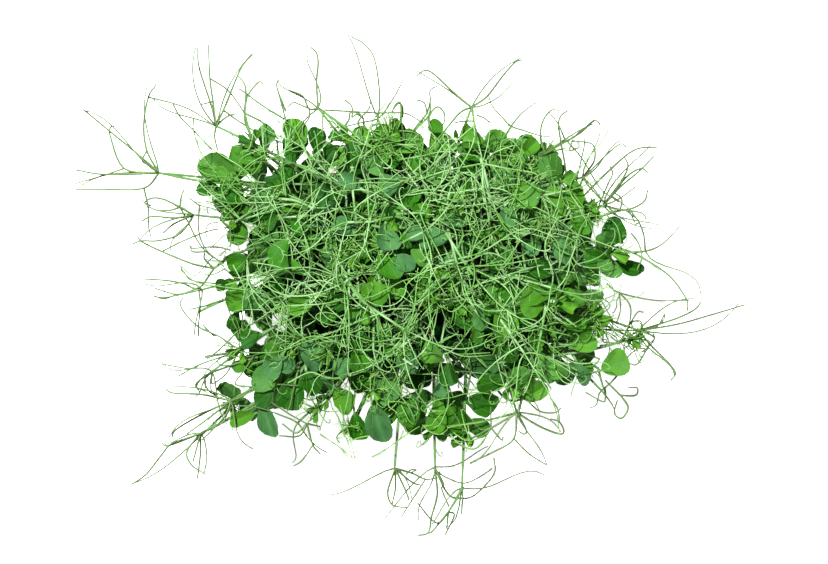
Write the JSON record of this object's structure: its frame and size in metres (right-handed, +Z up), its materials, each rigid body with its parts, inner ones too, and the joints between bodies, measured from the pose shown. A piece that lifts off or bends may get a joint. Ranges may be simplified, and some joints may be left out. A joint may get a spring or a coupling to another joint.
{
  "type": "pea microgreens",
  "caption": "Low rectangular block of sprouted pea seed on a root mat, with upright leafy pea shoots whose thin branching tendrils spread past it on every side.",
  "frame": {"origin": "middle of the flat underside of the root mat", "axes": "+Z up, along the shoots; +X along the block's long side, to the right in the picture; +Y along its short side, up in the picture"},
  "size_m": [0.4365, 0.3253, 0.156],
  "materials": {
    "roots": null,
    "pea_skins": null,
    "shoots": null
  },
  "bodies": {
    "root": {"root_mat": "roots", "seed_bed": "pea_skins", "shoot_0_0": "shoots", "shoot_0_1": "shoots", "shoot_0_2": "shoots", "shoot_0_3": "shoots", "shoot_0_4": "shoots", "shoot_0_5": "shoots", "shoot_0_6": "shoots", "shoot_0_7": "shoots", "shoot_1_0": "shoots", "shoot_1_1": "shoots", "shoot_1_2": "shoots", "shoot_1_3": "shoots", "shoot_1_4": "shoots", "shoot_1_5": "shoots", "shoot_1_6": "shoots", "shoot_1_7": "shoots", "shoot_2_0": "shoots", "shoot_2_1": "shoots", "shoot_2_2": "shoots", "shoot_2_3": "shoots", "shoot_2_4": "shoots", "shoot_2_5": "shoots", "shoot_2_6": "shoots", "shoot_2_7": "shoots", "shoot_3_0": "shoots", "shoot_3_1": "shoots", "shoot_3_2": "shoots", "shoot_3_3": "shoots", "shoot_3_4": "shoots", "shoot_3_5": "shoots", "shoot_3_6": "shoots", "shoot_3_7": "shoots", "shoot_4_0": "shoots", "shoot_4_1": "shoots", "shoot_4_2": "shoots", "shoot_4_3": "shoots", "shoot_4_4": "shoots", "shoot_4_5": "shoots", "shoot_4_6": "shoots", "shoot_4_7": "shoots"}
  },
  "joints": []
}
